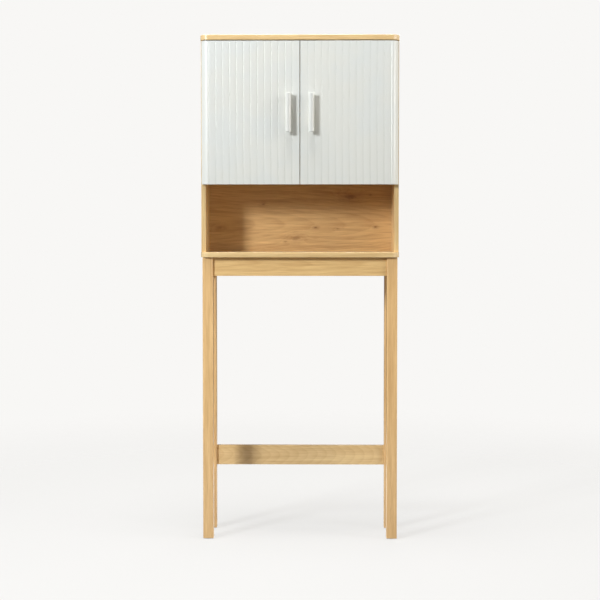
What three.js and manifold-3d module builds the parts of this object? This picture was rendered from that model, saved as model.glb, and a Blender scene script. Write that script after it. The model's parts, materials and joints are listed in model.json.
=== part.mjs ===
// Over-the-toilet storage rack: a two-door cabinet above an open compartment, carried on four long legs.
// Millimetres, +Z up, front towards -Y. The origin is on the floor, under the middle of the bounding box.
import * as THREE from "three";
import { mergeVertices } from "three/addons/utils/BufferGeometryUtils.js";
import Module from "manifold-3d";

const wasm = await Module();
wasm.setup();

// ---- Driving dimensions ---------------------------------------------------------------------------------
const WIDTH = 660; // over the top and lower boards
const HEIGHT = 1680; // floor to the top face
const DEPTH = 200; // front to back of the boards
const HANDLE_REACH = 24; // how far a handle stands in front of its door
const GAP = 0.3; // clearance left between pieces that meet
const OVER = 1; // how far a cutting tool runs past the face it cuts
const SMALL_ROUND = 12; // facets round a small hole
const MEDIUM_ROUND = 16;
const ROUND = 20;
const LARGE_ROUND = 32;

const BOARD = 17; // thickness of the top and lower boards
const PANEL = 15; // thickness of side panels, cabinet floor, inner shelf and rails
const BOARD_CORNER_R = 28; // rounded front corners of the boards
const SIDE_INSET = 1.5; // side panels stand in from the board ends
const LOWER_BOARD_Z = 945; // underside of the lower board
const CABINET_FLOOR_Z = 1190; // underside of the cabinet floor
const INNER_SHELF_Z = 1427; // underside of the adjustable shelf
const INNER_SHELF_SETBACK = 5; // behind the side panels' front edges
const INNER_SHELF_PLAY = 1; // clearance at the shelf's ends and back
const BACK_PANEL = 5; // thickness of the back panel
const BACK_PANEL_INSET = 19; // clear depth behind the back panel
const BACK_GROOVE = 5; // depth of the grooves that hold the back panel

const DOOR = 18; // door thickness
const DOOR_WIDTH = 328;
const DOOR_BOTTOM_Z = 1187;
const DOOR_TOP_Z = 1660;
const DOOR_MEETING_GAP = 2.5; // between the two doors
const DOOR_BACK_GAP = 3; // between a shut door and the cabinet's front edges
const DOOR_BACK_R = 3; // eased outer back edge, which swings past the side panel
const GROOVES = 13; // V-grooves in each door face
const FIRST_GROOVE = 24.5; // from the meeting edge
const GROOVE_PITCH = 23;
const GROOVE_WIDTH = 5;
const GROOVE_DEPTH = 0.8;

const HANDLE_X = 38; // handle centre line from the rack's centre line
const HANDLE_WIDTH = 18;
const HANDLE_LENGTH = 129;
const HANDLE_BAR = 10; // thickness of the grip
const HANDLE_EDGE = 3; // straight part of the grip's sides
const HANDLE_CROWN_FACETS = 14;
const HANDLE_POST_R = 5.5;
const HANDLE_POST_SPACING = 96;
const HANDLE_SCREW_R = 2;
const HANDLE_SCREW_REACH = 12; // how far the screw runs in front of the door
const HANDLE_TAP_END = 2; // how far the tapped hole runs into the grip
const SCREW_HEAD_R = 4;
const SCREW_HEAD = 2; // height of a screw head
const SCREW_SLOT = [6, 0.9, 1]; // length, depth and width of the driver slot

const LEG = 35; // square section
const LEG_EDGE_R = 3.5;
const LEG_EDGE_FACETS = 4;
const LEG_END_INSET = 5.5; // legs stand in from the board ends
const LEG_FRONT_INSET = 11; // front legs stand back from the board's front
const LEG_BACK_INSET = 2;
const STUD_R = 3.7; // threaded stud between a leg and the lower board
const STUD_IN_LEG = 28;
const STUD_IN_BOARD = 12;
const GLIDE = 2; // thickness of a foot glide
const GLIDE_R = 11;
const GLIDE_EDGE = 1; // chamfer round a glide's sole
const GLIDE_PIN_R = 1.5;
const GLIDE_PIN = 12;

const APRON_HEIGHT = 62; // upper rails, under the lower board
const APRON_SETBACK = 8; // front apron behind the front legs' faces
const STRETCHER_BOTTOM_Z = 222;
const STRETCHER_TOP_Z = 289;

// A hinge is drawn from its door's outer edge inwards (IN) and from the door's back face rearwards (REAR).
const HINGES = [["lower", 1267], ["upper", 1580]]; // heights of the hinge centres
const PIVOT_IN = 10.8;
const PIVOT_REAR = -6.6;
const CUP_IN = 24.3;
const CUP_BORE_R = 17.5;
const CUP_BORE_DEPTH = 10.3;
const CUP_TAPER_DEPTH = 7.4; // where the bore starts to narrow, to stay inside the door's rounded edge
const CUP_TAPER = 2.5; // how much smaller its radius is at the bottom
const CUP_WALL = 0.8;
const CUP_LIP = 0.5; // how far the cup's rim stands out of the door
const CUP_FLANGE_IN = [13.8, 36.8];
const CUP_FLANGE_HALF = 27; // half height of the screw flange
const CUP_FLANGE_TOP = 1.3;
const CUP_SCREW_IN = 29.8;
const CUP_SCREW_Z = 22.5; // screw holes above and below the hinge centre
const HINGE_SCREW_R = 2;
// Outline of a cheek, which follows the cup's tapered wall.
const CHEEK_PLAN = [[7.6, -6.6], [7.6, -4.2], [13.9, -4.2], [13.9, -9.7], [10.3, -9.7]];
const CHEEK = 1.5; // thickness of the cheeks that carry the pin
const HINGE_PIN_R = 1.25;
const HINGE_PIN_PLAY = 0.3;
const HINGE_PIN_END = 1.4; // how far the pin runs into each cheek
const HINGE_EYE_R = 2.3;
const NECK_HALF = 2.5; // half height of the neck and eye
const STRAP_IN = [18.8, 20.6]; // the neck's strap where it leaves the cup
const NECK_EYE_REAR = [-7.5, -6.1]; // the neck where it meets the eye
const NECK_BEND_REAR = [-6.5, -5];
const NECK_END_REAR = 7;
const ARM_START_REAR = 5;
const ARM_SHOULDER = [28, 11];
const ARM_END_REAR = 46;
const ARM_HALF = 7; // half height of the arm
const ARM_SCREW_R = 3;
const ARM_SCREW_REAR = 36;
const PLATE = 2.2; // thickness of the mounting plate
const PLATE_SPINE_REAR = [12, 50];
const PLATE_SPINE_HALF = 8;
const PLATE_WING_REAR = [26, 40];
const PLATE_WING_HALF = 25;
const PLATE_SCREW_Z = 16;

const SHELF_PIN_HOLE_R = 2.6;
const SHELF_PIN_HOLE_DEPTH = 9;
const SHELF_PIN_HEAD_R = 3;
const SHELF_PIN_PITCH = 32;
const SHELF_PIN_REACH = 9; // how far a pin stands into the cabinet
const SHELF_PIN_INSET = 30; // from the panel's front edge and from the back panel
const CAM_BORE_R = 7.5;
const CAM_BORE_DEPTH = 12.5;
const CAM_FROM_TOP = 34;
const CAM_FROM_FRONT = 40;
const CAM_FROM_BACK = 35;
const CAM_SLOT = [9.2, 1.8, 1.6]; // length, width and depth of the crossed driver slot
const BUMPER_X = 15; // door bumpers from the centre line
const BUMPER_R = 4;
const BUMPER = 2.4; // thickness of a door bumper
const BRACKET_X = 200; // wall brackets from the centre line
const BRACKET_WIDTH = 30;
const BRACKET_DROP = 38;
const BRACKET_SHEET = 1.6;
const BRACKET_BACK_GAP = 0.8; // between a bracket and the back panel
const WALL_HOLE_R = 2.6;
const WALL_HOLE_DROP = 24;
const BRACKET_HOLE_R = 2;
const BRACKET_HOLE_X = 8; // screw holes either side of the bracket's middle

// ---- Places worked out from the dimensions --------------------------------------------------------------
const FRONT = HANDLE_REACH - (DEPTH + HANDLE_REACH) / 2;
const BACK = FRONT + DEPTH;
const TOP_BOARD_Z = HEIGHT - BOARD;
const COMPARTMENT_Z = LOWER_BOARD_Z + BOARD;
const DOOR_BACK = FRONT + DOOR;
const DOOR_OUTER = DOOR_MEETING_GAP / 2 + DOOR_WIDTH;
const PANEL_FRONT = DOOR_BACK + DOOR_BACK_GAP;
const PANEL_OUTER = WIDTH / 2 - SIDE_INSET;
const PANEL_INNER = PANEL_OUTER - PANEL;
const BACK_PANEL_REAR = BACK - BACK_PANEL_INSET;
const BACK_PANEL_FRONT = BACK_PANEL_REAR - BACK_PANEL;
const BACK_SLOT_Y = [BACK_PANEL_FRONT - GAP, BACK_PANEL_REAR + GAP];
const LEG_OUTER = WIDTH / 2 - LEG_END_INSET;
const LEG_INNER = LEG_OUTER - LEG;
const FRONT_LEG_FACE = FRONT + LEG_FRONT_INSET;
const REAR_LEG_FACE = BACK - LEG_BACK_INSET - LEG;
const REAR_RAIL_FACE = REAR_LEG_FACE + (LEG - PANEL) / 2;
const LEG_X = LEG_OUTER - LEG / 2;
const APRON_Z = LOWER_BOARD_Z - APRON_HEIGHT;
const HANDLE_Z = (DOOR_BOTTOM_Z + DOOR_TOP_Z) / 2;
const HANDLE_POST_RISE = HANDLE_POST_SPACING / 2;
const HANDLE_POSTS = [["lower", HANDLE_Z - HANDLE_POST_RISE], ["upper", HANDLE_Z + HANDLE_POST_RISE]];
const SHELF_PIN_Z = INNER_SHELF_Z - GAP - SHELF_PIN_HEAD_R;
const SHELF_PINS = [["front", PANEL_FRONT + SHELF_PIN_INSET], ["rear", BACK_PANEL_FRONT - SHELF_PIN_INSET]];
const CAM_Z = TOP_BOARD_Z - CAM_FROM_TOP;
const CAMS = [["front", PANEL_FRONT + CAM_FROM_FRONT], ["rear", BACK_PANEL_FRONT - CAM_FROM_BACK]];
const SIDES = [["left", -1], ["right", 1]];
const LEG_ROWS = [["front", FRONT_LEG_FACE], ["rear", REAR_LEG_FACE]];

// ---- Materials ------------------------------------------------------------------------------------------
const finish = (color, roughness, metalness = 0) => (
  new THREE.MeshStandardMaterial({ color, roughness, metalness })
);
const oak = finish(0xd8b682, 0.55);
const legOak = finish(0xd9b07a, 0.55);
const paint = finish(0xe3e3dc, 0.45);
const handlePaint = finish(0xefefec, 0.3);
const steel = finish(0xb9bcc0, 0.35, 1);
const nylon = finish(0xe2ded2, 0.6);
const rubber = finish(0xd6d6d2, 0.8);

// ---- Geometry helpers -----------------------------------------------------------------------------------
const WELD = 1e-4;

// A closed geometry with its shared vertices merged, as a solid for cutting and joining.
function toSolid(geometry) {
  const bare = geometry.clone();
  bare.deleteAttribute("normal");
  bare.deleteAttribute("uv");
  const merged = mergeVertices(bare, WELD);
  const vertProperties = merged.attributes.position.array;
  const triVerts = merged.index.array;
  return new wasm.Manifold(new wasm.Mesh({ numProp: 3, vertProperties, triVerts }));
}

function toGeometry(solid) {
  const mesh = solid.getMesh();
  const geometry = new THREE.BufferGeometry();
  geometry.setAttribute("position", new THREE.BufferAttribute(mesh.vertProperties, 3));
  geometry.setIndex(new THREE.BufferAttribute(mesh.triVerts, 1));
  geometry.computeVertexNormals();
  return geometry;
}

function cut(body, ...tools) {
  return toGeometry(tools.reduce((solid, tool) => solid.subtract(toSolid(tool)), toSolid(body)));
}

function join(first, ...rest) {
  return toGeometry(rest.reduce((solid, piece) => solid.add(toSolid(piece)), toSolid(first)));
}

// A box between two values on each axis, in either order.
function box([x0, x1], [y0, y1], [z0, z1]) {
  const geometry = new THREE.BoxGeometry(Math.abs(x1 - x0), Math.abs(y1 - y0), Math.abs(z1 - z0));
  return geometry.translate((x0 + x1) / 2, (y0 + y1) / 2, (z0 + z1) / 2);
}

// A span of the given half length about a middle.
const about = (middle, half) => [middle - half, middle + half];

// A plan outline in X and Y raised from z0 to z1.
function raise(shape, z0, z1, curveSegments = 6) {
  const geometry = new THREE.ExtrudeGeometry(shape, { depth: z1 - z0, bevelEnabled: false, curveSegments });
  return geometry.translate(0, 0, z0);
}

// A round bar along one axis, centred on the other two.
function rod(axis, radius, [from, to], [u, v], segments = ROUND) {
  const geometry = new THREE.CylinderGeometry(radius, radius, Math.abs(to - from), segments);
  const middle = (from + to) / 2;
  if (axis === "x") return geometry.rotateZ(Math.PI / 2).translate(middle, u, v);
  if (axis === "y") return geometry.translate(u, middle, v);
  return geometry.rotateX(Math.PI / 2).translate(u, v, middle);
}

// A turned piece from (radius, height) points that start and end on the axis.
function turned(profile, segments) {
  return new THREE.LatheGeometry(profile.map(([r, h]) => new THREE.Vector2(r, h)), segments);
}

const polygon = (points) => new THREE.Shape(points.map(([x, y]) => new THREE.Vector2(x, y)));

const rack = new THREE.Group();
function add(name, geometry, material) {
  const mesh = new THREE.Mesh(geometry, material);
  mesh.name = name;
  rack.add(mesh);
}

// ---- Carcass --------------------------------------------------------------------------------------------
// The boards' plan: square back corners and rounded front corners.
function boardOutline() {
  const half = WIDTH / 2;
  const r = BOARD_CORNER_R;
  const shape = new THREE.Shape();
  shape.moveTo(half, BACK);
  shape.lineTo(-half, BACK);
  shape.lineTo(-half, FRONT + r);
  shape.absarc(-half + r, FRONT + r, r, Math.PI, 1.5 * Math.PI, false);
  shape.lineTo(half - r, FRONT);
  shape.absarc(half - r, FRONT + r, r, 1.5 * Math.PI, 2 * Math.PI, false);
  shape.closePath();
  return shape;
}

// The slot that a board leaves for the back panel's edge.
function boardGroove(z) {
  const half = PANEL_OUTER - BACK_GROOVE;
  return box([-half, half], BACK_SLOT_Y, z);
}

function topBoard() {
  const groove = boardGroove([TOP_BOARD_Z - OVER, TOP_BOARD_Z + BACK_GROOVE]);
  return cut(raise(boardOutline(), TOP_BOARD_Z, HEIGHT), groove);
}

function lowerBoard() {
  const groove = boardGroove([COMPARTMENT_Z - BACK_GROOVE, COMPARTMENT_Z + OVER]);
  const boreZ = [LOWER_BOARD_Z - OVER, LOWER_BOARD_Z + STUD_IN_BOARD + GAP];
  const bores = SIDES.flatMap(([, side]) => (
    LEG_ROWS.map(([, face]) => rod("z", STUD_R + GAP, boreZ, [side * LEG_X, face + LEG / 2]))
  ));
  return cut(raise(boardOutline(), LOWER_BOARD_Z, COMPARTMENT_Z), groove, ...bores);
}

// A side panel: grooved for the back panel, and bored for shelf pins and cam fittings.
function sidePanel(side) {
  const bottom = COMPARTMENT_Z + GAP;
  const top = TOP_BOARD_Z - GAP;
  const inwards = side * (PANEL_INNER - OVER);
  const body = box([side * PANEL_INNER, side * PANEL_OUTER], [PANEL_FRONT, BACK], [bottom, top]);
  const groove = box([inwards, side * (PANEL_INNER + BACK_GROOVE)], BACK_SLOT_Y, [bottom - OVER, top + OVER]);
  const pinHoleX = [inwards, side * (PANEL_INNER + SHELF_PIN_HOLE_DEPTH)];
  const pinHoleZ = [-1, 0, 1].map((step) => SHELF_PIN_Z + step * SHELF_PIN_PITCH);
  const pinHoles = SHELF_PINS.flatMap(([, y]) => (
    pinHoleZ.map((z) => rod("x", SHELF_PIN_HOLE_R, pinHoleX, [y, z], SMALL_ROUND))
  ));
  const camX = [inwards, side * (PANEL_INNER + CAM_BORE_DEPTH)];
  const camBores = CAMS.map(([, y]) => rod("x", CAM_BORE_R, camX, [y, CAM_Z]));
  return cut(body, groove, ...pinHoles, ...camBores);
}

function backPanel() {
  const half = PANEL_INNER + BACK_GROOVE - GAP;
  const bottom = COMPARTMENT_Z - BACK_GROOVE + GAP;
  const top = TOP_BOARD_Z + BACK_GROOVE - GAP;
  return box([-half, half], [BACK_PANEL_FRONT, BACK_PANEL_REAR], [bottom, top]);
}

function cabinetFloor() {
  const half = PANEL_INNER - GAP;
  const depth = [PANEL_FRONT, BACK_PANEL_FRONT - GAP];
  return box([-half, half], depth, [CABINET_FLOOR_Z, CABINET_FLOOR_Z + PANEL]);
}

function innerShelf() {
  const half = PANEL_INNER - INNER_SHELF_PLAY;
  const depth = [PANEL_FRONT + INNER_SHELF_SETBACK, BACK_PANEL_FRONT - INNER_SHELF_PLAY];
  return box([-half, half], depth, [INNER_SHELF_Z, INNER_SHELF_Z + PANEL]);
}

// Shelf pin: a thin shank in the side panel and a thicker head under the shelf.
function shelfPin(side, y) {
  const shank = SHELF_PIN_HOLE_R - GAP;
  const end = SHELF_PIN_REACH + SHELF_PIN_HOLE_DEPTH - OVER;
  const geometry = turned([[0, 0], [SHELF_PIN_HEAD_R, 0], [SHELF_PIN_HEAD_R, SHELF_PIN_REACH],
    [shank, SHELF_PIN_REACH], [shank, end], [0, end]], MEDIUM_ROUND);
  const start = side * (PANEL_INNER - GAP - SHELF_PIN_REACH);
  return geometry.rotateZ(-side * Math.PI / 2).translate(start, y, SHELF_PIN_Z);
}

// Cam fitting: a disc with a crossed driver slot, sunk in the side panel's inner face.
function cam(side, y) {
  const [length, width, depth] = CAM_SLOT;
  const bodyX = [side * PANEL_INNER, side * (PANEL_INNER + CAM_BORE_DEPTH - GAP)];
  const slotX = [side * (PANEL_INNER - OVER), side * (PANEL_INNER + depth)];
  const level = box(slotX, about(y, length / 2), about(CAM_Z, width / 2));
  const upright = box(slotX, about(y, width / 2), about(CAM_Z, length / 2));
  return cut(rod("x", CAM_BORE_R - GAP, bodyX, [y, CAM_Z]), level, upright);
}

// ---- Doors and handles ----------------------------------------------------------------------------------
// Plan of a door: a rounded outer front edge, an eased outer back edge and V-grooves in the front face.
function doorOutline(side) {
  const r = BOARD_CORNER_R;
  const eased = DOOR_BACK_R;
  const inner = DOOR_MEETING_GAP / 2;
  const centreX = WIDTH / 2 - r;
  const rise = DOOR_BACK - eased - (FRONT + r);
  const easedX = centreX + Math.sqrt((r - eased) ** 2 - rise ** 2);
  const turn = Math.atan2(rise, easedX - centreX);
  const lastGroove = inner + FIRST_GROOVE + (GROOVES - 1) * GROOVE_PITCH + GROOVE_WIDTH / 2;
  const start = -Math.acos((lastGroove - centreX) / r);
  const shape = new THREE.Shape();
  shape.moveTo(side * inner, DOOR_BACK);
  shape.lineTo(side * inner, FRONT);
  for (let k = 0; k < GROOVES; k += 1) {
    const x = inner + FIRST_GROOVE + k * GROOVE_PITCH;
    shape.lineTo(side * (x - GROOVE_WIDTH / 2), FRONT);
    shape.lineTo(side * x, FRONT + GROOVE_DEPTH);
    shape.lineTo(side * (x + GROOVE_WIDTH / 2), FRONT);
  }
  const seen = (angle) => (side > 0 ? angle : -Math.PI - angle);
  shape.absarc(side * centreX, FRONT + r, r, seen(start), seen(turn), side < 0);
  shape.absarc(side * easedX, DOOR_BACK - eased, eased, seen(turn), seen(Math.PI / 2), side < 0);
  shape.closePath();
  return shape;
}

function door(side) {
  const screwY = [FRONT - OVER, DOOR_BACK + OVER];
  const cupBores = HINGES.map(([, z]) => cupShape(side, z, 0, OVER));
  const screwHoles = HANDLE_POSTS.map(([, z]) => (
    rod("y", HANDLE_SCREW_R + 2 * GAP, screwY, [side * HANDLE_X, z], SMALL_ROUND)
  ));
  return cut(raise(doorOutline(side), DOOR_BOTTOM_Z, DOOR_TOP_Z), ...cupBores, ...screwHoles);
}

// A bridge pull: a grip with a crowned front on two round posts, tapped for screws from inside the door.
function handle(side) {
  const x = side * HANDLE_X;
  const half = HANDLE_WIDTH / 2;
  const back = FRONT - HANDLE_REACH + HANDLE_BAR;
  const crown = back - HANDLE_EDGE;
  const shape = new THREE.Shape();
  shape.moveTo(x + half, back);
  shape.lineTo(x - half, back);
  shape.lineTo(x - half, crown);
  shape.absellipse(x, crown, half, HANDLE_BAR - HANDLE_EDGE, Math.PI, 2 * Math.PI, false, 0);
  shape.closePath();
  const [bottom, top] = about(HANDLE_Z, HANDLE_LENGTH / 2);
  const grip = raise(shape, bottom, top, HANDLE_CROWN_FACETS);
  const posts = HANDLE_POSTS.map(([, z]) => rod("y", HANDLE_POST_R, [back - OVER, FRONT - GAP], [x, z]));
  const taps = HANDLE_POSTS.map(([, z]) => (
    rod("y", HANDLE_SCREW_R + GAP, [back - HANDLE_TAP_END, FRONT], [x, z], SMALL_ROUND)
  ));
  return cut(join(grip, ...posts), ...taps);
}

function handleScrew(side, z) {
  const x = side * HANDLE_X;
  const [length, depth, width] = SCREW_SLOT;
  const headTop = DOOR_BACK + GAP + SCREW_HEAD;
  const shank = rod("y", HANDLE_SCREW_R, [FRONT - HANDLE_SCREW_REACH, DOOR_BACK + OVER], [x, z], SMALL_ROUND);
  const head = rod("y", SCREW_HEAD_R, [DOOR_BACK + GAP, headTop], [x, z], MEDIUM_ROUND);
  const slot = box(about(x, length / 2), [headTop - depth, headTop + OVER], about(z, width / 2));
  return cut(join(shank, head), slot);
}

// ---- Hinges ---------------------------------------------------------------------------------------------
function hingeX(side, inward) {
  return side * (DOOR_OUTER - inward);
}

function hingeY(rearward) {
  return DOOR_BACK + rearward;
}

// A cup's bore, or the space a given distance inside it, up to a height behind the door.
function cupShape(side, z, inside, top) {
  const r = CUP_BORE_R - inside;
  const bottom = hingeY(inside - CUP_BORE_DEPTH);
  const narrow = r - CUP_TAPER + inside / 2;
  const bend = hingeY(0.35 * inside - CUP_TAPER_DEPTH);
  const mouth = hingeY(top);
  const profile = [[0, bottom], [narrow, bottom], [r, bend], [r, mouth], [0, mouth]];
  return turned(profile, LARGE_ROUND).translate(hingeX(side, CUP_IN), 0, z);
}

// The door half: a cup sunk in the door, two cheeks, the hinge pin and a screw flange.
function hingeCup(side, z) {
  const flangeX = CUP_FLANGE_IN.map((inward) => hingeX(side, inward));
  const cup = cupShape(side, z, GAP, CUP_LIP);
  const flange = box(flangeX, [hingeY(GAP), hingeY(CUP_FLANGE_TOP)], about(z, CUP_FLANGE_HALF));
  const hollow = cupShape(side, z, GAP + CUP_WALL, CUP_FLANGE_TOP + OVER);
  const screwY = [hingeY(-OVER), hingeY(CUP_FLANGE_TOP + OVER)];
  const screwHoles = about(z, CUP_SCREW_Z).map((screwZ) => (
    rod("y", HINGE_SCREW_R, screwY, [hingeX(side, CUP_SCREW_IN), screwZ], SMALL_ROUND)
  ));
  const cheekPlan = polygon(CHEEK_PLAN.map(([inward, rearward]) => [hingeX(side, inward), hingeY(rearward)]));
  const cheekIn = NECK_HALF + GAP;
  const cheeks = [z - cheekIn - CHEEK, z + cheekIn].map((low) => raise(cheekPlan, low, low + CHEEK));
  const pivot = [hingeX(side, PIVOT_IN), hingeY(PIVOT_REAR)];
  const pin = rod("z", HINGE_PIN_R, about(z, NECK_HALF + HINGE_PIN_END), pivot, MEDIUM_ROUND);
  return join(cut(join(cup, flange), hollow, ...screwHoles), ...cheeks, pin);
}

// The cabinet half: an eye on the pin, a cranked neck that leaves the cup's mouth, and the arm behind it.
function hingeArm(side, z) {
  const place = ([inward, rearward]) => [hingeX(side, inward), hingeY(rearward)];
  const plan = (points) => polygon(points.map(place));
  const [near, far] = STRAP_IN;
  const neck = plan([[PIVOT_IN, NECK_EYE_REAR[0]], [far, NECK_BEND_REAR[0]], [far, NECK_END_REAR],
    [near, NECK_END_REAR], [near, NECK_BEND_REAR[1]], [PIVOT_IN, NECK_EYE_REAR[1]]]);
  const arm = plan([[near, ARM_START_REAR], [far, ARM_START_REAR], ARM_SHOULDER,
    [ARM_SHOULDER[0], ARM_END_REAR], [near, ARM_END_REAR]]);
  const pivot = [hingeX(side, PIVOT_IN), hingeY(PIVOT_REAR)];
  const eye = rod("z", HINGE_EYE_R, about(z, NECK_HALF), pivot, ROUND);
  const eyeHole = rod("z", HINGE_PIN_R + HINGE_PIN_PLAY, about(z, NECK_HALF + OVER), pivot, MEDIUM_ROUND);
  const screwX = [hingeX(side, near - OVER), hingeX(side, ARM_SHOULDER[0] + OVER)];
  const screwHole = rod("x", ARM_SCREW_R, screwX, [hingeY(ARM_SCREW_REAR), z], SMALL_ROUND);
  const body = join(eye, raise(neck, ...about(z, NECK_HALF)), raise(arm, ...about(z, ARM_HALF)));
  return cut(body, eyeHole, screwHole);
}

// The mounting plate on the side panel, between it and the arm.
function hingePlate(side, z) {
  const face = PANEL_INNER - GAP;
  const x = [side * face, side * (face - PLATE)];
  const spine = box(x, PLATE_SPINE_REAR.map(hingeY), about(z, PLATE_SPINE_HALF));
  const wings = box(x, PLATE_WING_REAR.map(hingeY), about(z, PLATE_WING_HALF));
  const holeX = [side * (face + OVER), side * (face - PLATE - OVER)];
  const holeY = hingeY((PLATE_WING_REAR[0] + PLATE_WING_REAR[1]) / 2);
  const holes = about(z, PLATE_SCREW_Z).map((holeZ) => (
    rod("x", HINGE_SCREW_R, holeX, [holeY, holeZ], SMALL_ROUND)
  ));
  return cut(join(spine, wings), ...holes);
}

// ---- Base -----------------------------------------------------------------------------------------------
// A leg: a square post with rounded edges, bored for its stud above and its glide's pin below.
function leg(side, face) {
  const x = side * LEG_X;
  const y = face + LEG / 2;
  const h = LEG / 2;
  const r = LEG_EDGE_R;
  const shape = new THREE.Shape();
  shape.moveTo(x - h + r, y - h);
  shape.lineTo(x + h - r, y - h);
  shape.absarc(x + h - r, y - h + r, r, -Math.PI / 2, 0, false);
  shape.lineTo(x + h, y + h - r);
  shape.absarc(x + h - r, y + h - r, r, 0, Math.PI / 2, false);
  shape.lineTo(x - h + r, y + h);
  shape.absarc(x - h + r, y + h - r, r, Math.PI / 2, Math.PI, false);
  shape.lineTo(x - h, y - h + r);
  shape.absarc(x - h + r, y - h + r, r, Math.PI, 1.5 * Math.PI, false);
  const bottom = GLIDE + GAP;
  const top = LOWER_BOARD_Z - GAP;
  const studBore = rod("z", STUD_R + GAP, [top - STUD_IN_LEG, top + OVER], [x, y]);
  const pinZ = [bottom - OVER, GLIDE + GLIDE_PIN + OVER];
  const glideBore = rod("z", GLIDE_PIN_R + GAP, pinZ, [x, y], SMALL_ROUND);
  return cut(raise(shape, bottom, top, LEG_EDGE_FACETS), studBore, glideBore);
}

function legStud(side, face) {
  const z = [LOWER_BOARD_Z - STUD_IN_LEG + OVER, LOWER_BOARD_Z + STUD_IN_BOARD];
  return rod("z", STUD_R, z, [side * LEG_X, face + LEG / 2]);
}

function footGlide(side, face) {
  const top = GLIDE + GLIDE_PIN;
  const geometry = turned([[0, 0], [GLIDE_R - GLIDE_EDGE, 0], [GLIDE_R, GLIDE_EDGE], [GLIDE_R, GLIDE],
    [GLIDE_PIN_R, GLIDE], [GLIDE_PIN_R, top], [0, top]], LARGE_ROUND);
  return geometry.rotateX(Math.PI / 2).translate(side * LEG_X, face + LEG / 2, 0);
}

// A rail across the rack between two legs, its front face at y.
function crossRail(y, z0, z1) {
  const half = LEG_INNER - GAP;
  return box([-half, half], [y, y + PANEL], [z0, z1]);
}

// A rail from the front leg to the rear leg on one side.
function sideRail(side, z0, z1) {
  const x = about(side * LEG_X, PANEL / 2);
  return box(x, [FRONT_LEG_FACE + LEG + GAP, REAR_LEG_FACE - GAP], [z0, z1]);
}

// ---- Small fittings -------------------------------------------------------------------------------------
function doorBumper(side) {
  const back = PANEL_FRONT - GAP / 2;
  return rod("y", BUMPER_R, [back, back - BUMPER], [side * BUMPER_X, CABINET_FLOOR_Z + PANEL / 2]);
}

// An angle bracket under the top board, behind the back panel, with holes in both leaves.
function wallBracket(side) {
  const x = side * BRACKET_X;
  const width = about(x, BRACKET_WIDTH / 2);
  const top = TOP_BOARD_Z - GAP;
  const upper = box(width, [BACK_PANEL_REAR + BRACKET_BACK_GAP, BACK], [top - BRACKET_SHEET, top]);
  const wall = box(width, [BACK - BRACKET_SHEET, BACK], [top - BRACKET_DROP, top]);
  const wallY = [BACK - BRACKET_SHEET - OVER, BACK + OVER];
  const wallHole = rod("y", WALL_HOLE_R, wallY, [x, top - WALL_HOLE_DROP], MEDIUM_ROUND);
  const holeZ = [top - BRACKET_SHEET - OVER, top + OVER];
  const boardHoles = about(x, BRACKET_HOLE_X).map((holeX) => (
    rod("z", BRACKET_HOLE_R, holeZ, [holeX, (BACK_PANEL_REAR + BACK) / 2], SMALL_ROUND)
  ));
  return cut(join(upper, wall), wallHole, ...boardHoles);
}

// ---- The rack -------------------------------------------------------------------------------------------
add("top_board", topBoard(), oak);
add("lower_board", lowerBoard(), oak);
add("cabinet_floor", cabinetFloor(), oak);
add("inner_shelf", innerShelf(), oak);
add("back_panel", backPanel(), oak);
add("front_apron", crossRail(FRONT_LEG_FACE + APRON_SETBACK, APRON_Z, LOWER_BOARD_Z - GAP), oak);
add("rear_apron", crossRail(REAR_RAIL_FACE, APRON_Z, LOWER_BOARD_Z - GAP), oak);
add("rear_stretcher", crossRail(REAR_RAIL_FACE, STRETCHER_BOTTOM_Z, STRETCHER_TOP_Z), oak);

for (const [sideName, side] of SIDES) {
  add(`${sideName}_side_panel`, sidePanel(side), oak);
  add(`${sideName}_side_rail`, sideRail(side, APRON_Z, LOWER_BOARD_Z - GAP), oak);
  add(`${sideName}_door`, door(side), paint);
  add(`${sideName}_handle`, handle(side), handlePaint);
  add(`${sideName}_door_bumper`, doorBumper(side), rubber);
  add(`${sideName}_wall_bracket`, wallBracket(side), steel);
  for (const [end, z] of HANDLE_POSTS) {
    add(`${sideName}_handle_${end}_screw`, handleScrew(side, z), steel);
  }
  for (const [level, z] of HINGES) {
    add(`${sideName}_${level}_hinge_cup`, hingeCup(side, z), steel);
    add(`${sideName}_${level}_hinge_arm`, hingeArm(side, z), steel);
    add(`${sideName}_${level}_hinge_plate`, hingePlate(side, z), steel);
  }
  for (const [row, y] of SHELF_PINS) {
    add(`${row}_${sideName}_shelf_pin`, shelfPin(side, y), steel);
  }
  for (const [row, y] of CAMS) {
    add(`${row}_${sideName}_cam`, cam(side, y), steel);
  }
  for (const [row, face] of LEG_ROWS) {
    add(`${row}_${sideName}_leg`, leg(side, face), legOak);
    add(`${row}_${sideName}_leg_stud`, legStud(side, face), steel);
    add(`${row}_${sideName}_foot_glide`, footGlide(side, face), nylon);
  }
}

export default rack;
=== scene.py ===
"""Looks for the over-the-toilet storage rack.

Oak carcass, grooved off-white doors, white pulls and studio light.
"""
import json
import math

import bmesh
import bpy
from mathutils import Matrix, Vector


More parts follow.
